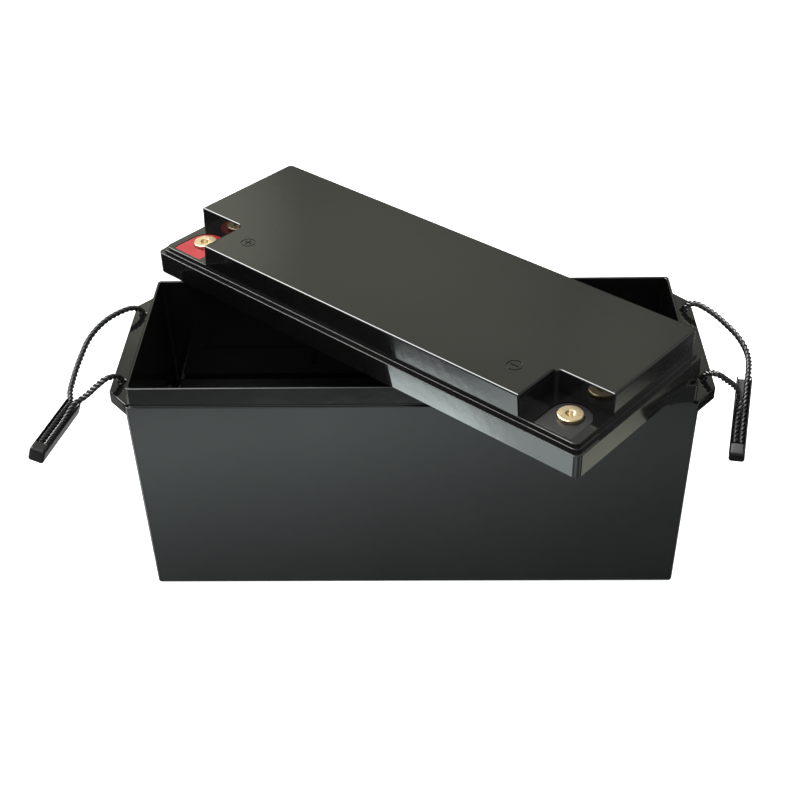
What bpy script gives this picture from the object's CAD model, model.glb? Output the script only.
import math

import bmesh
import bpy
from mathutils import Matrix, Vector


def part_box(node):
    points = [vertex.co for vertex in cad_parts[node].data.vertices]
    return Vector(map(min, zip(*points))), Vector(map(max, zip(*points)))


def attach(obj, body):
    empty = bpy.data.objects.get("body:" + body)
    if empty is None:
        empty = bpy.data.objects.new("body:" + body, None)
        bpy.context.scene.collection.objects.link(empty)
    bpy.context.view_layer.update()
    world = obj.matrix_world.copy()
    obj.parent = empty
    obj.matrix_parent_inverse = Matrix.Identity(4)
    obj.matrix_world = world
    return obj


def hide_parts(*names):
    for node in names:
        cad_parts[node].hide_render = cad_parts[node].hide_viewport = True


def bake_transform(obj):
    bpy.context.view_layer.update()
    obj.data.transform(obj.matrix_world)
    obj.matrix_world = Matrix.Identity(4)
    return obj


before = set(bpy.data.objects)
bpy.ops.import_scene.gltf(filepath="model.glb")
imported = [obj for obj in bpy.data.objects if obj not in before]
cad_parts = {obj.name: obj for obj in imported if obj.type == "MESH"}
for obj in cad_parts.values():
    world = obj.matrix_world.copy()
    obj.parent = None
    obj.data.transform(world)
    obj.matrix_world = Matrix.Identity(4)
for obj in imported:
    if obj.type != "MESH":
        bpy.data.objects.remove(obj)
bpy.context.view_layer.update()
MM = 0.001

# ---- camera ----
# It stands in front of the case and above it, looking down past the lid.
camera = bpy.data.objects.new("camera", bpy.data.cameras.new("camera"))
bpy.context.scene.collection.objects.link(camera)
camera.data.sensor_width = 36
camera.data.lens = 59.57
camera.data.clip_start = 0.05
camera.location = (0.0180, -0.9179, 0.8145)
yaw, pitch, roll = (math.radians(a) for a in (-1.79, 36.42, -1.43))
forward = Vector((math.sin(yaw) * math.cos(pitch), math.cos(yaw) * math.cos(pitch), -math.sin(pitch)))
level = Vector((math.cos(yaw), -math.sin(yaw), 0))
upright = level.cross(forward)
across = level * math.cos(roll) + upright * math.sin(roll)
above = upright * math.cos(roll) - level * math.sin(roll)
camera.rotation_euler = Matrix((across, above, -forward)).transposed().to_euler()
bpy.context.scene.camera = camera


# ---- ropes ----
# Each handle has two strands of 5 mm black nylon rope, laid from three twisted yarns. Each comes up through a
# hole in the flange from its knot, bends over towards the front and runs along the channel of its grip.
def hex_linear(code):
    """A colour written as sRGB hex, as the linear values that a shader takes"""
    parts = [int(code[i : i + 2], 16) / 255 for i in (1, 3, 5)]
    return [c / 12.92 if c <= 0.04045 else ((c + 0.055) / 1.055) ** 2.4 for c in parts] + [1.0]


def set_inputs(tree, node, inputs):
    """Sets a node's inputs, each to a value or a link"""
    for key, value in inputs.items():
        if isinstance(value, bpy.types.NodeSocket):
            tree.links.new(value, node.inputs[key])
        else:
            node.inputs[key].default_value = value


def add_node(tree, kind, inputs=(), stops=(), **settings):
    """A node with its settings and inputs, and a ramp's stops: place and sRGB hex, or place and height"""
    made = tree.nodes.new(kind)
    for key, value in settings.items():
        setattr(made, key, value)
    set_inputs(tree, made, dict(inputs))
    if stops:
        band = made.color_ramp.elements
        while len(band) < len(stops):
            band.new(0.5)
        for element, (place, level) in zip(band, stops):
            element.position = place
            element.color = hex_linear(level) if isinstance(level, str) else (level, level, level, 1)
    return made


def start_material(name, **values):
    """A named material with its shader's own values set"""
    made = bpy.data.materials.new(name)
    made.use_nodes = True
    shader = made.node_tree.nodes["Principled BSDF"]
    for key, value in values.items():
        shader.inputs[key.replace("_", " ")].default_value = value
    return made, made.node_tree, shader


# Twisted nylon: fine black filaments with a soft gloss, which catch the light in lines along each yarn
nylon, tree, shader = start_material("twisted_nylon", Roughness=0.2, IOR=1.58)
uv = add_node(tree, "ShaderNodeUVMap", uv_map="lay").outputs["UV"]
filaments = add_node(
    tree, "ShaderNodeTexWave", {"Vector": uv, "Scale": 1.0, "Distortion": 0.6, "Detail": 2.0},
    bands_direction="X",
)
fuzz = add_node(tree, "ShaderNodeTexNoise", {"Vector": uv, "Scale": 3.0, "Detail": 4.0})
crest = add_node(tree, "ShaderNodeAttribute", attribute_name="crest").outputs["Fac"]
worn = add_node(
    tree, "ShaderNodeMath", {0: filaments.outputs["Fac"], 1: 0.3, 2: crest}, operation="MULTIPLY_ADD"
)
tint = add_node(
    tree, "ShaderNodeValToRGB", {"Fac": worn.outputs["Value"]}, stops=[(0.5, "#010101"), (1.0, "#1d1e1d")]
)
lines = add_node(
    tree, "ShaderNodeMath", {0: filaments.outputs["Fac"], 1: fuzz.outputs["Fac"]}, operation="MULTIPLY"
)
relief = add_node(
    tree, "ShaderNodeBump", {"Height": lines.outputs["Value"], "Strength": 0.2, "Distance": 0.12 * MM}
)
set_inputs(tree, shader, {"Base Color": tint.outputs["Color"], "Normal": relief.outputs["Normal"]})

rope_d = 5 * MM
lay_length = 13 * MM
# Where each yarn's middle lies and its radius, in rope radii, and how far the crests stand proud
yarn_out = 0.5
yarn_r = 0.5
crest_out = 1.06
ring_step = 0.7 * MM
ring_points = 24
hole_x = 234 * MM
hole_y = 50 * MM
flange_top = 194.5 * MM
knot_z = 186 * MM


def smooth_route(points, step):
    """Even steps along a smooth curve through the given points"""
    ends = [2 * points[0] - points[1]] + points + [2 * points[-1] - points[-2]]
    parts = 24
    fine = []
    for a, b, c, d in zip(ends, ends[1:], ends[2:], ends[3:]):
        for k in range(parts):
            t = k / parts
            bend = (2 * a - 5 * b + 4 * c - d) * t**2 + (3 * b - a - 3 * c + d) * t**3
            fine.append(0.5 * (2 * b + (c - a) * t + bend))
    fine.append(points[-1])
    total = sum((b - a).length for a, b in zip(fine, fine[1:]))
    count = round(total / step)
    even, gone, target = [fine[0]], 0.0, total / count
    for a, b in zip(fine, fine[1:]):
        span = (b - a).length
        while gone + span >= target - 1e-9 and len(even) < count:
            even.append(a.lerp(b, (target - gone) / span))
            target += total / count
        gone += span
    return even + [fine[-1]], total


def lay_rope(route, ring_step, lay_length):
    """A three-yarn rope: a lobed ring drawn out along the route and turned as it goes"""
    centres, total = smooth_route(route, ring_step)
    shape = bmesh.new()
    bmesh.ops.create_circle(shape, segments=ring_points, radius=rope_d / 2)
    places = []
    side = Vector((0.13, 0.99, 0.08))
    for i, centre in enumerate(centres):
        ahead = (centres[min(i + 1, len(centres) - 1)] - centres[max(i - 1, 0)]).normalized()
        side = (side - ahead * side.dot(ahead)).normalized()
        turns = total * i / (len(centres) - 1) / lay_length
        turn = Matrix.Rotation(2 * math.pi * turns, 4, ahead)
        axes = Matrix((side, ahead.cross(side), ahead)).transposed().to_4x4()
        places.append(Matrix.Translation(centre) @ turn @ axes)
    for vert in shape.verts:
        angle = (math.atan2(vert.co.y, vert.co.x) + math.pi / 3) % (2 * math.pi / 3) - math.pi / 3
        across_yarn = yarn_r**2 - (yarn_out * math.sin(angle)) ** 2
        vert.co *= crest_out * (yarn_out * math.cos(angle) + math.sqrt(max(0, across_yarn)))
    crest = shape.verts.layers.float.new("crest")
    for vert in shape.verts:
        vert[crest] = (vert.co.length / (rope_d / 2) - 0.5) / 0.5
    around = shape.verts.layers.float.new("around")
    along = shape.verts.layers.float.new("along")
    for vert in shape.verts:
        vert[around] = math.atan2(vert.co.y, vert.co.x) / (2 * math.pi) % 1
    rim = list(shape.edges)
    bmesh.ops.contextual_create(shape, geom=rim)
    bmesh.ops.transform(shape, matrix=places[0], verts=shape.verts)
    for i in range(1, len(places)):
        drawn = bmesh.ops.extrude_edge_only(shape, edges=rim)["geom"]
        rim = [e for e in drawn if isinstance(e, bmesh.types.BMEdge)]
        fresh = [v for v in drawn if isinstance(v, bmesh.types.BMVert)]
        bmesh.ops.transform(shape, matrix=places[i] @ places[i - 1].inverted(), verts=fresh)
        for vert in fresh:
            vert[along] = i * total / (len(places) - 1)
    bmesh.ops.contextual_create(shape, geom=rim)
    bmesh.ops.recalc_face_normals(shape, faces=shape.faces)
    lay = shape.loops.layers.uv.new("lay")
    for face in shape.faces:
        values = [loop.vert[around] for loop in face.loops]
        wrapped = max(values) - min(values) > 0.5
        for loop, value in zip(face.loops, values):
            loop[lay].uv = (24 * (value + (wrapped and value < 0.5)), loop.vert[along] / (2 * MM))
    return shape, centres, total


def add_piece(name, shape, material, body, slot, *stands_for):
    """A finished mesh as a named piece on its body"""
    mesh = bpy.data.meshes.new(name)
    shape.to_mesh(mesh)
    shape.free()
    piece = bpy.data.objects.new(name, mesh)
    bpy.context.scene.collection.objects.link(piece)
    mesh.materials.append(material)
    mesh.shade_smooth()
    if body:
        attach(piece, body)
    if stands_for:
        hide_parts(*stands_for)
    return piece


routes = {
    "rope_left_back": [
        (-243, 44, 204.5), (-251, 38, 204.5), (-260, 29.5, 203), (-268, 19.5, 199.5), (-273.5, 7.5, 195.5),
        (-276.5, -5.5, 191), (-278.5, -19, 187), (-279.5, -32.5, 183.5), (-279.5, -45, 181),
        (-276.9, -58, 179.3), (-278.8, -69.8, 180.3), (-281, -83.5, 181.5), (-283.2, -97.3, 182.7),
        (-285.3, -111.1, 184), (-286.7, -120, 184.7),
    ],
    "rope_left_front": [
        (-243, -60, 204.5), (-251, -61.5, 199), (-258.5, -62, 192), (-265.3, -63.1, 186.8),
        (-271.1, -67.4, 184.3), (-273.8, -74.1, 181.9), (-275.5, -81.5, 180.6), (-277, -89.4, 180.4),
        (-278.7, -100.2, 181.4), (-280.4, -111, 182.4), (-282, -120.8, 183.2),
    ],
    "rope_right_back": [
        (243, 44, 204.5), (251, 37, 203.5), (258.5, 28.5, 201.5), (265.5, 20, 198.2), (271.8, 12, 194.5),
        (276, 4.5, 191), (278.4, -3.5, 188), (278.9, -12.2, 186), (277.3, -22.9, 184.4), (274.3, -36, 179.6),
        (271.2, -49.5, 174), (268.1, -63.1, 168.6), (264.9, -76.7, 163), (261.8, -90.3, 157.6),
    ],
    "rope_right_front": [
        (243, -60, 204.5), (250, -60, 199.3), (256, -58, 193.5), (261, -56, 187.3), (263.8, -56.8, 180.2),
        (264, -61, 173.8), (262.5, -65.1, 168.5), (260.6, -72.8, 163.9), (258.7, -80.9, 160.6),
        (256.9, -89.1, 157.3),
    ],
}
for name, points in routes.items():
    s = -1 if "left" in name else 1
    end_y = hole_y if "back" in name else -hole_y
    route = [Vector(p) * MM for p in points]
    over = route[0] - Vector((s * hole_x, end_y, flange_top))
    start = [Vector((s * hole_x, end_y, z)) for z in (knot_z, flange_top - 3 * MM, flange_top + 1 * MM)]
    start.append(Vector((s * hole_x, end_y, flange_top)) + Vector((0.3 * over.x, 0.3 * over.y, 6.6 * MM)))
    shape, centres, total = lay_rope(start + route, ring_step, lay_length)
    strand = add_piece(name.replace("rope", "strand"), shape, nylon, None, "rope", name)
    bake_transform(strand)


# ---- rope knots ----
# Under each flange the rope ends in a tight overhand stopper knot, pulled up against the hole.
def gather(into, shape):
    """Adds a finished shape to another"""
    spare = bpy.data.meshes.new("spare")
    shape.to_mesh(spare)
    shape.free()
    into.from_mesh(spare)
    bpy.data.meshes.remove(spare)


knot_size, knot_rise, knot_shrink = 0.78 * MM, 1.1 * MM, 0.86
knot_step, knot_lay = 0.8 * MM, 9 * MM
core_r = 3.1 * MM


def tie_knots(s):
    """Two stopper knots: rope wound once round itself and tucked, each inside a 9.6 mm ball"""
    both = bmesh.new()
    for end_y in (-hole_y, hole_y):
        middle = Vector((s * hole_x, end_y, knot_z))
        turns = []
        for k in range(33):
            a = 2 * math.pi * k / 32
            turns.append(middle + Vector((
                (math.sin(a) + 2 * math.sin(2 * a)) * knot_size,
                (math.cos(a) - 2 * math.cos(2 * a)) * knot_size,
                -math.sin(3 * a) * knot_rise,
            )))
        core = bmesh.new()
        bmesh.ops.create_uvsphere(core, u_segments=20, v_segments=12, radius=core_r)
        bmesh.ops.translate(core, vec=middle, verts=core.verts)
        gather(both, core)
        wound = lay_rope(turns, knot_step, knot_lay)[0]
        bmesh.ops.scale(
            wound, vec=(knot_shrink, knot_shrink, knot_shrink), verts=wound.verts,
            space=Matrix.Translation(-middle),
        )
        gather(both, wound)
    return both


for side, s in (("left", -1), ("right", 1)):
    add_piece(f"rope_knots_{side}", tie_knots(s), nylon, "case", "rope", f"rope_anchors_{side}")

# ---- floor and light ----
# A plain white paper floor in a white room. The paper glows a little, so no hard shadow shows. The gloss of the
# case mirrors a row of soft boxes, each with its own place in the room.
stage = bmesh.new()
bmesh.ops.create_circle(stage, segments=64, radius=6, cap_ends=True)
floor_mesh = bpy.data.meshes.new("floor")
stage.to_mesh(floor_mesh)
stage.free()
floor = bpy.data.objects.new("floor", floor_mesh)
bpy.context.scene.collection.objects.link(floor)
paper, tree, shader = start_material("white_paper", Roughness=0.9, Emission_Strength=0.6)
set_inputs(tree, shader, {"Base Color": hex_linear("#f7f7f7"), "Emission Color": (1, 1, 1, 1)})
floor_mesh.materials.append(paper)
floor.visible_glossy = False

bpy.context.scene.view_settings.view_transform = "Standard"
world = bpy.data.worlds.new("studio")
bpy.context.scene.world = world
world.use_nodes = True
tree = world.node_tree
tree.nodes.clear()
direction = add_node(tree, "ShaderNodeTexCoord").outputs["Generated"]
white, cool, warm = (1, 1, 1), (0.93, 1.04, 1.03), (1.02, 1.04, 0.86)


def add_glow(tree, before, amount, colour, strength):
    """Adds a light of one colour to those before it"""
    tint = [c * strength for c in colour]
    made = add_node(tree, "ShaderNodeVectorMath", {0: amount, 1: tint, 2: before}, operation="MULTIPLY_ADD")
    return made.outputs["Vector"]


dark_room = add_node(tree, "ShaderNodeCombineXYZ", {"X": 0.03, "Y": 0.03, "Z": 0.03})
glow = dark_room.outputs["Vector"]
# Each soft box: the direction it lies in, its colour and brightness, and the angles where it ends and is full.
# The cool and warm boxes show in the lid and the flanges, the strong white one along the rounded edges, and the
# dim white ones light the sides and the back.
for lobe, colour, strength, ends, full in (
    ((-0.77, -0.08, -0.635), cool, 6.4, 5.5, 3.7),
    ((-0.745, -0.23, -0.63), cool, 2.8, 7.2, 3.0),
    ((-0.05, 0.78, 0.62), warm, 0.62, 18.0, 8.0),
    ((-0.20, 0.86, 0.47), warm, 0.5, 6.0, 3.0),
    ((0.735, 0.24, -0.64), warm, 0.9, 5.2, 1.5),
    ((0.20, 0.80, 0.56), warm, 0.22, 6.0, 3.0),
    ((-0.45, 0.35, 0.82), white, 20.0, 28.0, 12.0),
    ((-0.75, -0.15, 0.65), white, 1.0, 25.0, 10.0),
    ((0.80, 0.00, 0.60), white, 0.4, 30.0, 15.0),
    ((0.00, -0.50, 0.85), white, 1.4, 30.0, 15.0),
    ((0.00, 0.55, 0.84), white, 1.6, 16.0, 8.0),
    ((0.00, 0.80, -0.60), white, 0.8, 30.0, 12.0),
    ((0.00, -0.80, 0.60), white, 0.5, 35.0, 15.0),
    ((0.80, 0.47, -0.37), white, 1.0, 14.0, 8.0),
    ((-0.80, 0.50, -0.35), white, 0.8, 20.0, 10.0),
    ((-0.80, -0.45, -0.40), white, 0.8, 22.0, 12.0),
    ((0.80, -0.45, -0.40), white, 0.8, 25.0, 12.0),
    ((-0.80, 0.45, 0.40), white, 0.8, 25.0, 12.0),
    ((0.80, 0.45, 0.40), white, 0.8, 25.0, 12.0),
):
    facing = add_node(
        tree, "ShaderNodeVectorMath", {0: direction, 1: Vector(lobe).normalized()}, operation="DOT_PRODUCT"
    )
    near = add_node(
        tree, "ShaderNodeMapRange",
        {
            "Value": facing.outputs["Value"], "From Min": math.cos(math.radians(ends)),
            "From Max": math.cos(math.radians(full)),
        },
    )
    glow = add_glow(tree, glow, near.outputs["Result"], colour, strength)
# The sheet of light below the front, brighter to the left and at its upper edge: its brightness by height, from
# side to side, and by how squarely it faces the front
place = add_node(tree, "ShaderNodeSeparateXYZ", {"Vector": direction})
sheet = (1, 1, 1)
for axis, levels in (
    (
        "Z",
        [
            (-0.76, 0.12), (-0.707, 0.24), (-0.69, 0.36), (-0.66, 0.62), (-0.63, 0.96), (-0.605, 1.0),
            (-0.585, 0.2), (-0.5, 0.05),
        ],
    ),
    ("X", [(-0.5, 0.6), (-0.2, 1.0), (-0.08, 1.0), (0.03, 0.76), (0.17, 0.36), (0.5, 0.12)]),
    ("Y", [(-0.65, 1.0), (-0.5, 0.0)]),
):
    low, high = levels[0][0], levels[-1][0]
    within = add_node(
        tree, "ShaderNodeMapRange", {"Value": place.outputs[axis], "From Min": low, "From Max": high}
    )
    curve = add_node(
        tree, "ShaderNodeValToRGB", {"Fac": within.outputs["Result"]},
        stops=[((at - low) / (high - low), level) for at, level in levels],
    )
    sheet = add_node(
        tree, "ShaderNodeVectorMath", {0: sheet, 1: curve.outputs["Color"]}, operation="MULTIPLY"
    ).outputs["Vector"]
glow = add_glow(tree, glow, sheet, cool, 1.4)
path = add_node(tree, "ShaderNodeLightPath")
shown = add_node(
    tree, "ShaderNodeMix", {"Factor": path.outputs["Is Glossy Ray"], "A": (1, 1, 1, 1), "B": glow},
    data_type="RGBA",
)
sky = add_node(tree, "ShaderNodeBackground", {"Color": shown.outputs["Result"]})
add_node(tree, "ShaderNodeOutputWorld", {"Surface": sky.outputs["Background"]})

lamp = bpy.data.objects.new("lamp_above", bpy.data.lights.new("lamp_above", "AREA"))
lamp.data.size = 2.4
lamp.data.energy = 40
lamp.location = (-0.3, 0.2, 2.2)
lamp.visible_glossy = False
lamp.visible_camera = False
bpy.context.scene.collection.objects.link(lamp)

# ---- case ----
# The tub: glossy black ABS, injection moulded in one piece with its thin rim and an end flange each side.
# Every side leans in a little towards the floor so that it leaves its mould.
abs_gloss, tree, shader = start_material("abs_gloss_moulded", IOR=1.54)
# Glossy ABS: a polished mould leaves a mirror with a faint orange peel, dulled here and there by handling
place = add_node(tree, "ShaderNodeTexCoord").outputs["Object"]
peel = add_node(tree, "ShaderNodeTexNoise", {"Vector": place, "Scale": 1 / (9 * MM), "Detail": 2.0})
smears = add_node(
    tree, "ShaderNodeTexNoise", {"Vector": place, "Scale": 1 / (70 * MM), "Detail": 5.0, "Roughness": 0.6}
)
sheen = add_node(tree, "ShaderNodeMapRange", {"Value": smears.outputs["Fac"], "To Min": 0.05, "To Max": 0.13})
tint = add_node(
    tree, "ShaderNodeValToRGB", {"Fac": smears.outputs["Fac"]}, stops=[(0.3, "#0b0c0b"), (0.7, "#101110")]
)
relief = add_node(
    tree, "ShaderNodeBump", {"Height": peel.outputs["Fac"], "Strength": 0.05, "Distance": 0.6 * MM}
)
set_inputs(
    tree, shader,
    {
        "Roughness": sheen.outputs["Result"],
        "Base Color": tint.outputs["Color"],
        "Normal": relief.outputs["Normal"],
    },
)


def rounded_block(half_x, half_y, r, low, high, steps=6):
    """An upright block with rounded upright corners, drawn up from one face, and its top face"""
    shape = bmesh.new()
    bmesh.ops.create_grid(shape, x_segments=1, y_segments=1, size=1)
    bmesh.ops.scale(shape, vec=(half_x, half_y, 1), verts=shape.verts)
    bmesh.ops.translate(shape, vec=(0, 0, low), verts=shape.verts)
    bmesh.ops.bevel(
        shape, geom=shape.verts[:], offset=r, segments=steps, profile=0.5, affect="VERTICES", material=-1
    )
    top = raise_face(shape, next(iter(shape.faces)), (1, 1), high - low)
    return shape, top


def raise_face(shape, face, widths, rise):
    """Draws a face upwards (or down) and scales it about the middle"""
    inside = all(len(edge.link_faces) > 1 for edge in face.edges)
    drawn = bmesh.ops.extrude_face_region(shape, geom=[face])["geom"]
    if inside:
        bmesh.ops.delete(shape, geom=[face], context="FACES_ONLY")
    fresh = [v for v in drawn if isinstance(v, bmesh.types.BMVert)]
    bmesh.ops.translate(shape, vec=(0, 0, rise), verts=fresh)
    bmesh.ops.scale(shape, vec=(widths[0], widths[1], 1), verts=fresh)
    return next(f for f in drawn if isinstance(f, bmesh.types.BMFace))


def stack(levels, r, steps=6):
    """A closed shape from levels of half length, half width and height, each drawn on from the one before"""
    (x, y, z), rest = levels[0], levels[1:]
    shape, top = rounded_block(x, y, r, z, rest[0][2], steps)
    bmesh.ops.scale(shape, vec=(rest[0][0] / x, rest[0][1] / y, 1), verts=top.verts[:])
    for (x, y, z), (nx, ny, nz) in zip(rest, rest[1:]):
        top = raise_face(shape, top, (nx / x, ny / y), nz - z)
    bmesh.ops.recalc_face_normals(shape, faces=shape.faces)
    return shape


def soften(shape, offset, segments, keep):
    """Rounds the hard edges that keep() picks, as the radius of a mould does"""
    bmesh.ops.dissolve_limit(shape, angle_limit=0.002, verts=shape.verts[:], edges=shape.edges[:])
    picked = [
        e for e in shape.edges
        if len(e.link_faces) == 2 and abs(e.calc_face_angle(0)) > math.radians(40)
        and keep((e.verts[0].co + e.verts[1].co) / 2, e)
    ]
    bmesh.ops.bevel(
        shape, geom=picked, offset=offset, segments=segments, profile=0.5, affect="EDGES", material=-1,
        clamp_overlap=True,
    )
    bmesh.ops.recalc_face_normals(shape, faces=shape.faces)


def carve(shape, tools, operation):
    """Joins tools to a shape, or cuts them from it, exactly"""
    pieces = []
    for each in [shape] + tools:
        mesh = bpy.data.meshes.new("workpiece")
        each.to_mesh(mesh)
        each.free()
        pieces.append(bpy.data.objects.new("workpiece", mesh))
        bpy.context.scene.collection.objects.link(pieces[-1])
    for tool in pieces[1:]:
        cut = pieces[0].modifiers.new("cut", "BOOLEAN")
        cut.operation = operation
        cut.solver = "EXACT"
        cut.object = tool
    bpy.context.view_layer.update()
    result = bmesh.new()
    graph = bpy.context.evaluated_depsgraph_get()
    result.from_mesh(pieces[0].evaluated_get(graph).to_mesh())
    for made in pieces:
        old = made.data
        bpy.data.objects.remove(made)
        bpy.data.meshes.remove(old)
    bmesh.ops.remove_doubles(result, verts=result.verts[:], dist=0.002 * MM)
    return result


def drill(x, y, low, high, r, steps=40):
    """A round tool for a hole or a boss"""
    shape = bmesh.new()
    bmesh.ops.create_cone(
        shape, cap_ends=True, segments=steps, radius1=r, radius2=r, depth=high - low,
        matrix=Matrix.Translation((x, y, (low + high) / 2)),
    )
    return shape


def bar(low, high):
    """A square tool between two corners"""
    shape = bmesh.new()
    bmesh.ops.create_cube(shape, size=1)
    low, high = Vector(low), Vector(high)
    bmesh.ops.scale(shape, vec=high - low, verts=shape.verts)
    bmesh.ops.translate(shape, vec=(low + high) / 2, verts=shape.verts)
    return shape


def finish_moulding(piece):
    """Even shading over flat faces and their rounded edges"""
    piece.data.set_sharp_from_angle(angle=math.radians(50))
    weighted = piece.modifiers.new("even", "WEIGHTED_NORMAL")
    weighted.keep_sharp = True
    weighted.weight = 60


tub_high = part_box("case_tub")[1]
half_w = tub_high.y
half_l = 226.5 * MM
ledge_z = 192.5 * MM
rim_in = 2.2 * MM
rim_wall = 2.4 * MM
draft = 2.4 * MM
wall = 4 * MM
corner_r = 3.2 * MM
rim_l, rim_w = half_l - rim_in, half_w - rim_in
inner_l, inner_w = rim_l - rim_wall, rim_w - rim_wall
tub = stack(
    [
        (half_l - draft, half_w - draft, 0),
        (half_l, half_w, ledge_z),
        (rim_l, rim_w, ledge_z),
        (rim_l, rim_w, tub_high.z),
        (inner_l, inner_w, tub_high.z),
        (half_l - draft - wall, half_w - draft - wall, wall),
    ],
    corner_r,
)
soften(tub, 0.7 * MM, 3, lambda at, e: at.z > ledge_z - 1 * MM)
soften(tub, 1.6 * MM, 4, lambda at, e: at.z < 10 * MM)

flange_h = 11 * MM
flange_plate = 3.5 * MM
flange_half = 64 * MM
flange_reach = tub_high.x
hole_r = 3.2 * MM
root = half_w - 2.6 * MM
for s in (-1, 1):
    flange = bmesh.new()
    outline = [
        flange.verts.new((s * x, y, flange_top))
        for x, y in (
            (half_l - 3 * MM, -root), (half_l, -root), (flange_reach, -flange_half),
            (flange_reach, flange_half), (half_l, root), (half_l - 3 * MM, root),
        )
    ]
    plate = bmesh.ops.contextual_create(flange, geom=outline)["faces"][0]
    raise_face(flange, plate, (1, 1), -flange_h)
    bmesh.ops.recalc_face_normals(flange, faces=flange.faces)
    soften(flange, 1.0 * MM, 3, lambda at, e: abs(at.x) > half_l - 1 * MM)
    pockets = []
    for y_low, y_high in ((-61.5, -31.2), (-28.8, 28.8), (31.2, 61.5)):
        ends = sorted((s * (half_l + 0.6 * MM), s * (flange_reach - 2.6 * MM)))
        pocket = bar(
            (ends[0], y_low * MM, flange_top - flange_h - 1 * MM),
            (ends[1], y_high * MM, flange_top - flange_plate),
        )
        soften(pocket, 1.2 * MM, 2, lambda at, e: True)
        pockets.append(pocket)
    tub = carve(tub, [carve(flange, pockets, "DIFFERENCE")], "UNION")
for s in (-1, 1):
    for y in (-hole_y, hole_y):
        hole = drill(s * hole_x, y, flange_top - flange_plate - 2 * MM, flange_top + 2 * MM, hole_r)
        sink = bmesh.new()
        bmesh.ops.create_cone(
            sink, cap_ends=True, segments=40, radius1=hole_r - 0.3 * MM, radius2=hole_r + 1.1 * MM,
            depth=1.4 * MM,
            matrix=Matrix.Translation((s * hole_x, y, flange_top - 0.3 * MM)),
        )
        tub = carve(tub, [hole, sink], "DIFFERENCE")
tub = add_piece("case_tub_moulding", tub, abs_gloss, "case", "case_abs", "case_tub")
finish_moulding(tub)

# ---- lid ----
# The lid: the same glossy ABS, moulded as a stepped skirt with a raised hollow top, cut away in two corners for
# the terminals. It lies askew across the case. It is drawn square and then turned.
lid_low, lid_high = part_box("lid")
lid_turn = math.radians(-40.5)
lid_middle = (lid_low + lid_high) / 2
lid_place = Matrix.Translation((lid_middle.x, lid_middle.y, lid_low.z)) @ Matrix.Rotation(lid_turn, 4, "Z")
skirt_h = 19.6 * MM
skirt_wall = 2 * MM
step_1, step_2, step_h = 3.2 * MM, 2.4 * MM, 2.6 * MM
hood_h = lid_high.z - lid_low.z
hood_wall = 3 * MM
deck_z = skirt_h + 2 * step_h
deck_l, deck_w = half_l - step_1 - step_2, half_w - step_1 - step_2
skirt_roof = 17.6 * MM
recess_u = deck_l - 52.5 * MM
recess_v = -deck_w + 45.2 * MM
recess_r = 6 * MM
lid_corner_r = 5 * MM


def recess_tool(s, low, grow):
    """The corner cut away at a terminal, its inner corner rounded"""
    far = 30 * MM
    tool = bar((recess_u - grow, -deck_w - far, low), (deck_l + far, recess_v + grow, hood_h + 5 * MM))
    corner = [
        e for e in tool.edges
        if all(abs(v.co.x - recess_u + grow) < 1e-6 and abs(v.co.y - recess_v - grow) < 1e-6 for v in e.verts)
    ]
    bmesh.ops.bevel(tool, geom=corner, offset=recess_r, segments=8, profile=0.5, affect="EDGES", material=-1)
    if s < 0:
        bmesh.ops.scale(tool, vec=(-1, 1, 1), verts=tool.verts)
        bmesh.ops.reverse_faces(tool, faces=tool.faces)
    bmesh.ops.recalc_face_normals(tool, faces=tool.faces)
    return tool


lid = stack(
    [
        (half_l, half_w, 0), (half_l, half_w, skirt_h),
        (half_l - step_1, half_w - step_1, skirt_h), (half_l - step_1, half_w - step_1, skirt_h + step_h),
        (deck_l, deck_w, skirt_h + step_h), (deck_l, deck_w, hood_h),
    ],
    lid_corner_r,
)
lid = carve(lid, [recess_tool(s, deck_z, 0) for s in (-1, 1)], "DIFFERENCE")


def on_hood(at, edge):
    """The rim of the raised top, and its upright corners at the recesses"""
    upright = abs(edge.verts[0].co.z - edge.verts[1].co.z) > 5 * MM
    return at.z > hood_h - 0.1 * MM or (upright and at.z > deck_z)


def on_step(at, edge):
    """The level outer edges of the skirt and the steps"""
    level = abs(edge.verts[0].co.z - edge.verts[1].co.z) < 1 * MM
    return level and edge.is_convex and abs(at.z - hood_h) > 2 * MM


soften(lid, 1.5 * MM, 4, on_hood)
soften(lid, 0.85 * MM, 3, on_step)

hollow = stack(
    [
        (half_l - skirt_wall, half_w - skirt_wall, -1 * MM),
        (half_l - skirt_wall, half_w - skirt_wall, skirt_roof),
        (deck_l - hood_wall, deck_w - hood_wall, skirt_roof),
        (deck_l - hood_wall, deck_w - hood_wall, hood_h - hood_wall),
    ],
    3 * MM,
)
hollow = carve(hollow, [recess_tool(s, deck_z - hood_wall, hood_wall) for s in (-1, 1)], "DIFFERENCE")
lid = carve(lid, [hollow], "DIFFERENCE")

terminal_u, terminal_v = 197 * MM, -53 * MM
boss_z = deck_z - 7.6 * MM
head_z = deck_z - 1.6 * MM
pad_r = 16.2 * MM


def pad_block(s, low, high, grow):
    """The outline of a terminal's pad: round towards the middle of the lid, square towards its corner"""
    block = drill(s * terminal_u, terminal_v, low, high, pad_r + grow, 64)
    reach = pad_r + grow
    square = bar(
        (s * terminal_u - reach, -75 * MM - grow, low), (s * terminal_u + reach, terminal_v, high)
    )
    return carve(block, [square], "UNION")


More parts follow.
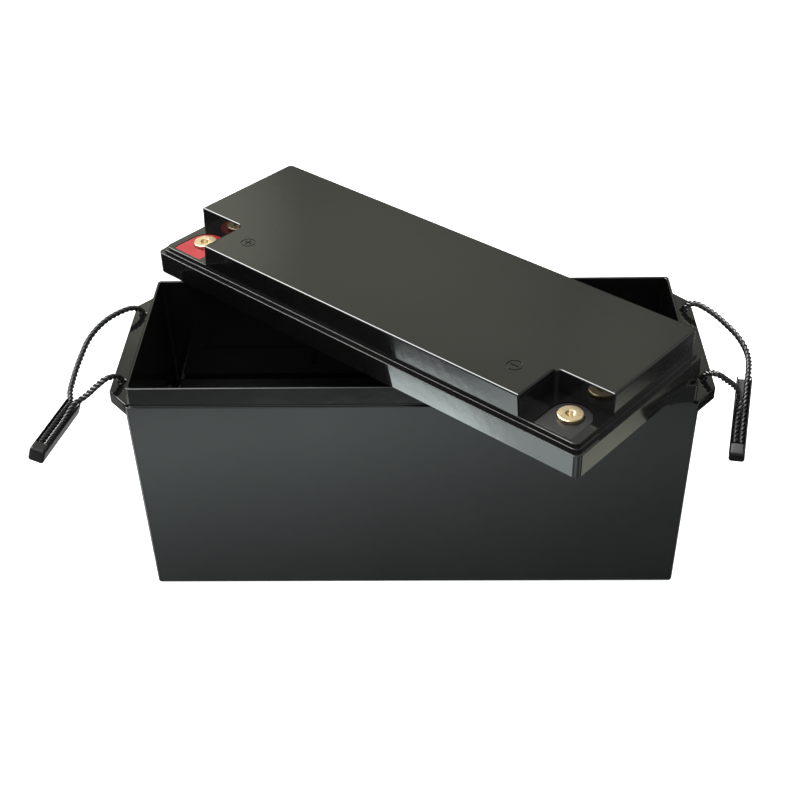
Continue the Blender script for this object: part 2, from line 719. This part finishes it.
for s in (-1, 1):
    lid = carve(lid, [drill(s * terminal_u, terminal_v, boss_z, deck_z - 2 * MM, 14 * MM, 64)], "UNION")
    cuts = [
        pad_block(s, head_z, deck_z + 1 * MM, 0.5 * MM),
        drill(s * terminal_u, terminal_v, boss_z - 1 * MM, deck_z, 6.1 * MM),
        drill(s * terminal_u, terminal_v, head_z - 1.5 * MM, deck_z, 8.5 * MM),
    ]
    # The polarity mark: a ring with a plus or a minus, engraved in the raised top
    mark_u, mark_v, mark_low = s * 143 * MM, -50 * MM, hood_h - 0.6 * MM
    ring = carve(
        drill(mark_u, mark_v, mark_low, hood_h + 1 * MM, 6.5 * MM, 64),
        [drill(mark_u, mark_v, mark_low - 1 * MM, hood_h + 2 * MM, 5.6 * MM, 64)],
        "DIFFERENCE",
    )
    cuts.append(ring)
    arm, half_arm = 3.8 * MM, 0.55 * MM
    mark_top = hood_h + 1 * MM
    sign = bar((mark_u - arm, mark_v - half_arm, mark_low), (mark_u + arm, mark_v + half_arm, mark_top))
    if s < 0:
        stem = bar((mark_u - half_arm, mark_v - arm, mark_low), (mark_u + half_arm, mark_v + arm, mark_top))
        sign = carve(sign, [stem], "UNION")
    cuts.append(sign)
    lid = carve(lid, cuts, "DIFFERENCE")
bmesh.ops.transform(lid, matrix=lid_place, verts=lid.verts)
lid = add_piece("lid_moulding", lid, abs_gloss, "lid", "case_abs", "lid")
finish_moulding(lid)

# ---- terminal pads ----
# A coloured polypropylene pad lies in a shallow pocket under each terminal head: red for plus, black for minus.
# Satin polypropylene: a finely eroded mould gives it a soft, even sheen
pad_materials = {}
for colour, dark, light in (("red", "#8f1a20", "#a4222a"), ("black", "#0d0d0d", "#161616")):
    made, tree, shader = start_material(f"polypropylene_{colour}_satin", Roughness=0.34, IOR=1.49)
    place = add_node(tree, "ShaderNodeTexCoord").outputs["Object"]
    grain = add_node(tree, "ShaderNodeTexNoise", {"Vector": place, "Scale": 1 / (0.8 * MM), "Detail": 3.0})
    patches = add_node(tree, "ShaderNodeTexNoise", {"Vector": place, "Scale": 1 / (12 * MM), "Detail": 2.0})
    tint = add_node(
        tree, "ShaderNodeValToRGB", {"Fac": patches.outputs["Fac"]}, stops=[(0.3, dark), (0.7, light)]
    )
    relief = add_node(
        tree, "ShaderNodeBump", {"Height": grain.outputs["Fac"], "Strength": 0.25, "Distance": 0.1 * MM}
    )
    set_inputs(tree, shader, {"Base Color": tint.outputs["Color"], "Normal": relief.outputs["Normal"]})
    pad_materials[colour] = made
for colour, s in (("red", -1), ("black", 1)):
    pad = pad_block(s, head_z, head_z + 1.2 * MM, 0)
    opening = drill(s * terminal_u, terminal_v, head_z - 1 * MM, head_z + 3 * MM, 10.4 * MM, 64)
    pad = carve(pad, [opening], "DIFFERENCE")
    soften(pad, 0.3 * MM, 2, lambda at, e: at.z > head_z + 1.1 * MM)
    bmesh.ops.transform(pad, matrix=lid_place, verts=pad.verts)
    pad = add_piece(
        f"pad_{colour}", pad, pad_materials[colour], "lid", f"{colour}_pad", f"terminal_pad_{colour}"
    )
    finish_moulding(pad)

# ---- terminals ----
# Each terminal is turned from brass bar: a 20 mm head with an M8 hole, on a 12 mm shank with a fine thread for
# its nut. Turned brass: bright and warm, with fine rings from the lathe tool on its face.
brass, tree, shader = start_material("brass_turned", Metallic=1.0)
face_uv = add_node(tree, "ShaderNodeUVMap", uv_map="face").outputs["UV"]
# A wave texture counts in radians, so its scale is divided by one turn
one_turn = 6.283
rings = add_node(
    tree, "ShaderNodeTexWave", {"Vector": face_uv, "Scale": 1 / (0.5 * MM) / one_turn, "Distortion": 0.3},
    wave_type="RINGS", rings_direction="Z",
)
place = add_node(tree, "ShaderNodeTexCoord").outputs["Object"]
tarnish = add_node(tree, "ShaderNodeTexNoise", {"Vector": place, "Scale": 1 / (6 * MM), "Detail": 4.0})
tint = add_node(
    tree, "ShaderNodeValToRGB", {"Fac": tarnish.outputs["Fac"]}, stops=[(0.3, "#d2bb90"), (0.7, "#e0cea8")]
)
sheen = add_node(
    tree, "ShaderNodeMapRange", {"Value": tarnish.outputs["Fac"], "To Min": 0.24, "To Max": 0.34}
)
relief = add_node(
    tree, "ShaderNodeBump", {"Height": rings.outputs["Fac"], "Strength": 0.15, "Distance": 0.05 * MM}
)
set_inputs(
    tree, shader,
    {
        "Base Color": tint.outputs["Color"],
        "Roughness": sheen.outputs["Result"],
        "Normal": relief.outputs["Normal"],
    },
)


def turn_part(profile, steps):
    """A closed turned part from its half profile, given as radius and height in millimetres"""
    shape = bmesh.new()
    verts = [shape.verts.new((r * MM, 0, z * MM)) for r, z in profile]
    for a, b in zip(verts, verts[1:]):
        shape.edges.new((a, b))
    bmesh.ops.spin(
        shape, geom=shape.verts[:] + shape.edges[:], cent=(0, 0, 0), axis=(0, 0, 1), angle=2 * math.pi,
        steps=steps, use_merge=True,
    )
    bmesh.ops.remove_doubles(shape, verts=shape.verts[:], dist=0.001 * MM)
    bmesh.ops.recalc_face_normals(shape, faces=shape.faces)
    return shape


head_low, head_top, shank_end = head_z / MM, deck_z / MM + 2.4, 7.0
tap_floor = head_top - 14
profile = [(0, tap_floor)]
thread, thread_turns, shank_turns = 1.25, 10, 9
for k in range(thread_turns):
    low = tap_floor + 0.4 + k * thread
    profile += [(3.4, low), (3.4, low + 0.25 * thread)]
    profile += [(3.75, low + 0.5 * thread), (3.75, low + 0.6 * thread)]
profile += [(3.5, head_top - 0.55), (4.1, head_top), (9.3, head_top)]
profile += [(9.8, head_top - 0.2), (10, head_top - 0.7)]
profile += [(10, head_low + 0.3), (9.8, head_low), (6, head_low), (6, head_low - 2.5)]
shank = (head_low - 2.5 - shank_end - 0.6) / shank_turns
for k in range(shank_turns):
    low = head_low - 2.5 - k * shank
    profile += [(6, low - 0.2 * shank), (5.55, low - 0.5 * shank)]
    profile += [(5.55, low - 0.6 * shank), (6, low - 0.9 * shank)]
profile += [(5.4, shank_end), (0, shank_end)]
for name, s in (("terminal_positive", -1), ("terminal_negative", 1)):
    post = turn_part(profile, 64)
    face_map = post.loops.layers.uv.new("face")
    for face in post.faces:
        for loop in face.loops:
            loop[face_map].uv = (loop.vert.co.x, loop.vert.co.y)
    bmesh.ops.translate(post, vec=(s * terminal_u, terminal_v, 0), verts=post.verts)
    bmesh.ops.transform(post, matrix=lid_place, verts=post.verts)
    post = add_piece(f"{name}_post", post, brass, "lid", "brass", name)
    post.data.set_sharp_from_angle(angle=math.radians(18))

# ---- terminal seals, washers and nuts ----
# Under each head a nitrile O-ring seals the lid, and a zinc-plated washer and nut pull the terminal down.
# Nitrile rubber: matte black with a bloom of talc
nitrile, tree, shader = start_material("nitrile_rubber", Roughness=0.7)
place = add_node(tree, "ShaderNodeTexCoord").outputs["Object"]
bloom = add_node(tree, "ShaderNodeTexNoise", {"Vector": place, "Scale": 1 / (2 * MM), "Detail": 4.0})
tint = add_node(
    tree, "ShaderNodeValToRGB", {"Fac": bloom.outputs["Fac"]}, stops=[(0.3, "#0f0f0f"), (0.75, "#242424")]
)
set_inputs(tree, shader, {"Base Color": tint.outputs["Color"]})
# Zinc plate: bright bluish steel with a cloudy passivated skin
zinc, tree, shader = start_material("steel_zinc_plated", Metallic=1.0)
place = add_node(tree, "ShaderNodeTexCoord").outputs["Object"]
cloud = add_node(tree, "ShaderNodeTexNoise", {"Vector": place, "Scale": 1 / (4 * MM), "Detail": 5.0})
tint = add_node(
    tree, "ShaderNodeValToRGB", {"Fac": cloud.outputs["Fac"]}, stops=[(0.3, "#a9adb2"), (0.7, "#c8ccd0")]
)
sheen = add_node(tree, "ShaderNodeMapRange", {"Value": cloud.outputs["Fac"], "To Min": 0.25, "To Max": 0.45})
set_inputs(tree, shader, {"Base Color": tint.outputs["Color"], "Roughness": sheen.outputs["Result"]})

rings_of_rubber = bmesh.new()
for s in (-1, 1):
    section = [
        (7.05 + 0.9 * math.cos(2 * math.pi * k / 12), head_low - 0.75 + 0.74 * math.sin(2 * math.pi * k / 12))
        for k in range(13)
    ]
    ring = turn_part(section, 48)
    bmesh.ops.translate(ring, vec=(s * terminal_u, terminal_v, 0), verts=ring.verts)
    bmesh.ops.transform(ring, matrix=lid_place, verts=ring.verts)
    gather(rings_of_rubber, ring)
add_piece("terminal_o_rings_moulded", rings_of_rubber, nitrile, "lid", "rubber", "terminal_o_rings")


def dress(material, *names):
    """Gives parts that keep their own shape a material"""
    for name in names:
        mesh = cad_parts[name].data
        mesh.materials.clear()
        mesh.materials.append(material)


dress(zinc, "terminal_washers", "terminal_nuts", "strap_lower", "strap_upper", "bms_screws")

# ---- lid seal and foam ----
# Closed-cell EVA foam: a strip glued inside the skirt above the rim, and pads that hold the row of cells.
# EVA foam: dull black with a pitted skin
eva, tree, shader = start_material("eva_foam", Roughness=0.95)
place = add_node(tree, "ShaderNodeTexCoord").outputs["Object"]
pits = add_node(tree, "ShaderNodeTexVoronoi", {"Vector": place, "Scale": 1 / (1.2 * MM)})
tint = add_node(
    tree, "ShaderNodeValToRGB", {"Fac": pits.outputs["Distance"]}, stops=[(0.0, "#0b0b0c"), (0.6, "#1c1c1d")]
)
relief = add_node(
    tree, "ShaderNodeBump", {"Height": pits.outputs["Distance"], "Strength": 0.5, "Distance": 0.3 * MM}
)
set_inputs(tree, shader, {"Base Color": tint.outputs["Color"], "Normal": relief.outputs["Normal"]})
dress(eva, "lid_seal", "floor_pad", "side_pad_front", "side_pad_back", "end_pad_left", "end_pad_right")

# ---- grips ----
# Each grip is a moulded polypropylene bar. Its rope strands lie in a channel along the top and are glued in.
# Moulded polypropylene: softer gloss than the case, with faint flow lines along the bar
grip_pp, tree, shader = start_material("polypropylene_moulded", IOR=1.49)
place = add_node(tree, "ShaderNodeTexCoord").outputs["Object"]
flow = add_node(tree, "ShaderNodeMapping", {"Vector": place, "Scale": (1.0, 0.15, 1.0)}).outputs["Vector"]
streaks = add_node(tree, "ShaderNodeTexNoise", {"Vector": flow, "Scale": 1 / (5 * MM), "Detail": 3.0})
tint = add_node(
    tree, "ShaderNodeValToRGB", {"Fac": streaks.outputs["Fac"]}, stops=[(0.3, "#0b0b0b"), (0.7, "#121211")]
)
sheen = add_node(
    tree, "ShaderNodeMapRange", {"Value": streaks.outputs["Fac"], "To Min": 0.24, "To Max": 0.38}
)
grit = add_node(tree, "ShaderNodeTexNoise", {"Vector": place, "Scale": 1 / (0.9 * MM), "Detail": 2.0})
relief = add_node(
    tree, "ShaderNodeBump", {"Height": grit.outputs["Fac"], "Strength": 0.12, "Distance": 0.1 * MM}
)
set_inputs(
    tree, shader,
    {
        "Base Color": tint.outputs["Color"],
        "Roughness": sheen.outputs["Result"],
        "Normal": relief.outputs["Normal"],
    },
)

grip_l, grip_w, grip_h, grip_r = 76 * MM, 12.6 * MM, 12.4 * MM, 2.2 * MM
channel_half, channel_floor, channel_end = 5.15 * MM, -0.6 * MM, 66 * MM
for side, at, turn in (
    ("left", (-275, -57.5, 176.5), (-5, 17.5, -9)),
    ("right", (273, -31, 179), (21.5, -3.5, -13)),
):
    grip = bar((-grip_w / 2, -grip_l, -grip_h / 2), (grip_w / 2, 0, grip_h / 2))
    soften(grip, grip_r, 5, lambda at, e: True)
    channel = bar((-channel_half, -channel_end, channel_floor), (channel_half, 2 * MM, grip_h))
    soften(channel, 0.8 * MM, 2, lambda at, e: at.z < 0)
    grip = carve(grip, [channel], "DIFFERENCE")
    soften(grip, 0.35 * MM, 2, lambda at, e: at.z > channel_floor + 0.3 * MM)
    pitch, roll, yaw = (math.radians(a) for a in turn)
    laid = (
        Matrix.Translation(Vector(at) * MM) @ Matrix.Rotation(yaw, 4, "Z") @ Matrix.Rotation(pitch, 4, "X")
        @ Matrix.Rotation(roll, 4, "Y")
    )
    bmesh.ops.transform(grip, matrix=laid, verts=grip.verts)
    grip = add_piece(f"grip_{side}_moulding", grip, grip_pp, f"handle_{side}", "grip_pp", f"grip_{side}")
    finish_moulding(grip)

# ---- cells ----
# Sixteen prismatic lithium iron phosphate cells in a row. Each can is aluminium, wrapped in blue PET film.
# PET film: thin and glossy, with slight waves where it has shrunk onto the can
film, tree, shader = start_material("pet_film_blue", IOR=1.57)
place = add_node(tree, "ShaderNodeTexCoord").outputs["Object"]
waves = add_node(tree, "ShaderNodeTexNoise", {"Vector": place, "Scale": 1 / (25 * MM), "Detail": 3.0})
tint = add_node(
    tree, "ShaderNodeValToRGB", {"Fac": waves.outputs["Fac"]}, stops=[(0.3, "#15397a"), (0.7, "#1d4690")]
)
sheen = add_node(tree, "ShaderNodeMapRange", {"Value": waves.outputs["Fac"], "To Min": 0.25, "To Max": 0.4})
relief = add_node(
    tree, "ShaderNodeBump", {"Height": waves.outputs["Fac"], "Strength": 0.3, "Distance": 0.8 * MM}
)
set_inputs(
    tree, shader,
    {
        "Base Color": tint.outputs["Color"],
        "Roughness": sheen.outputs["Result"],
        "Normal": relief.outputs["Normal"],
    },
)
# Fishpaper between the cells: pale and fibrous
fishpaper, tree, shader = start_material("fishpaper", Roughness=0.8)
place = add_node(tree, "ShaderNodeTexCoord").outputs["Object"]
fibres = add_node(tree, "ShaderNodeTexNoise", {"Vector": place, "Scale": 1 / (2 * MM), "Detail": 6.0})
tint = add_node(
    tree, "ShaderNodeValToRGB", {"Fac": fibres.outputs["Fac"]}, stops=[(0.3, "#c9c6b8"), (0.7, "#d8d5c8")]
)
cell_names = [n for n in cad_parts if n.startswith("cell_") and n[5:].isdigit()]
set_inputs(tree, shader, {"Base Color": tint.outputs["Color"]})
dress(film, *cell_names)
dress(fishpaper, "cell_spacers")

# ---- end plates, busbars and lead ----
# The end plates and busbars are cut from mill-finish aluminium sheet, and the lead is bare copper strip.
# Mill aluminium: fine rolling lines along the sheet
mill, tree, shader = start_material("aluminium_mill", Metallic=1.0)
place = add_node(tree, "ShaderNodeTexCoord").outputs["Object"]
rolled = add_node(tree, "ShaderNodeMapping", {"Vector": place, "Scale": (0.04, 1.0, 1.0)}).outputs["Vector"]
rolling = add_node(tree, "ShaderNodeTexNoise", {"Vector": rolled, "Scale": 1 / (0.8 * MM), "Detail": 3.0})
tint = add_node(
    tree, "ShaderNodeValToRGB", {"Fac": rolling.outputs["Fac"]}, stops=[(0.3, "#b9bcbf"), (0.7, "#cfd1d3")]
)
sheen = add_node(
    tree, "ShaderNodeMapRange", {"Value": rolling.outputs["Fac"], "To Min": 0.28, "To Max": 0.42}
)
set_inputs(tree, shader, {"Base Color": tint.outputs["Color"], "Roughness": sheen.outputs["Result"]})
# Bare copper: warm, slightly browned where it has been handled
copper, tree, shader = start_material("copper_bare", Metallic=1.0)
place = add_node(tree, "ShaderNodeTexCoord").outputs["Object"]
browned = add_node(tree, "ShaderNodeTexNoise", {"Vector": place, "Scale": 1 / (8 * MM), "Detail": 4.0})
tint = add_node(
    tree, "ShaderNodeValToRGB", {"Fac": browned.outputs["Fac"]}, stops=[(0.3, "#9c5a3a"), (0.7, "#c9825a")]
)
sheen = add_node(tree, "ShaderNodeMapRange", {"Value": browned.outputs["Fac"], "To Min": 0.25, "To Max": 0.4})
set_inputs(tree, shader, {"Base Color": tint.outputs["Color"], "Roughness": sheen.outputs["Result"]})
dress(
    mill, "end_plate_left", "end_plate_right",
    "busbar_plus", "busbar_link_1", "busbar_link_2", "busbar_link_3",
    "busbar_minus", "bms_base",
)
dress(copper, "bms_lead")

# ---- board, management unit and harness ----
# A sheet of black glass laminate covers the busbars. The management unit stands on it in a moulded cover.
# Glass laminate: near black, with the weave of the cloth just showing
laminate, tree, shader = start_material("glass_laminate_black", Roughness=0.5)
place = add_node(tree, "ShaderNodeTexCoord").outputs["Object"]
warp = add_node(
    tree, "ShaderNodeTexWave", {"Vector": place, "Scale": 1 / (1.6 * MM) / one_turn}, bands_direction="X"
)
weft = add_node(
    tree, "ShaderNodeTexWave", {"Vector": place, "Scale": 1 / (1.6 * MM) / one_turn}, bands_direction="Y"
)
weave = add_node(
    tree, "ShaderNodeMath", {0: warp.outputs["Fac"], 1: weft.outputs["Fac"]}, operation="MULTIPLY"
)
tint = add_node(
    tree, "ShaderNodeValToRGB", {"Fac": weave.outputs["Value"]}, stops=[(0.0, "#0a0a0b"), (1.0, "#121213")]
)
relief = add_node(
    tree, "ShaderNodeBump", {"Height": weave.outputs["Value"], "Strength": 0.2, "Distance": 0.05 * MM}
)
set_inputs(tree, shader, {"Base Color": tint.outputs["Color"], "Normal": relief.outputs["Normal"]})
# Flame-retardant ABS of the cover: a spark-eroded mould gives it an even grain
abs_grain, tree, shader = start_material("abs_eroded", Roughness=0.6, IOR=1.54)
place = add_node(tree, "ShaderNodeTexCoord").outputs["Object"]
grain = add_node(tree, "ShaderNodeTexNoise", {"Vector": place, "Scale": 1 / (0.8 * MM), "Detail": 2.0})
tint = add_node(
    tree, "ShaderNodeValToRGB", {"Fac": grain.outputs["Fac"]}, stops=[(0.3, "#101011"), (0.7, "#18181a")]
)
relief = add_node(
    tree, "ShaderNodeBump", {"Height": grain.outputs["Fac"], "Strength": 0.4, "Distance": 0.1 * MM}
)
set_inputs(tree, shader, {"Base Color": tint.outputs["Color"], "Normal": relief.outputs["Normal"]})
# Braided polyester sleeve of the harness
sleeve, tree, shader = start_material("polyester_sleeve", Roughness=0.75)
place = add_node(tree, "ShaderNodeTexCoord").outputs["Object"]
braid = add_node(tree, "ShaderNodeTexVoronoi", {"Vector": place, "Scale": 1 / (1.5 * MM)})
tint = add_node(
    tree, "ShaderNodeValToRGB", {"Fac": braid.outputs["Distance"]}, stops=[(0.0, "#161617"), (0.6, "#0b0b0b")]
)
relief = add_node(
    tree, "ShaderNodeBump", {"Height": braid.outputs["Distance"], "Strength": 0.5, "Distance": 0.2 * MM}
)
set_inputs(tree, shader, {"Base Color": tint.outputs["Color"], "Normal": relief.outputs["Normal"]})
dress(laminate, "insulation_board")
dress(abs_grain, "bms_cover")
dress(sleeve, "sense_harness")
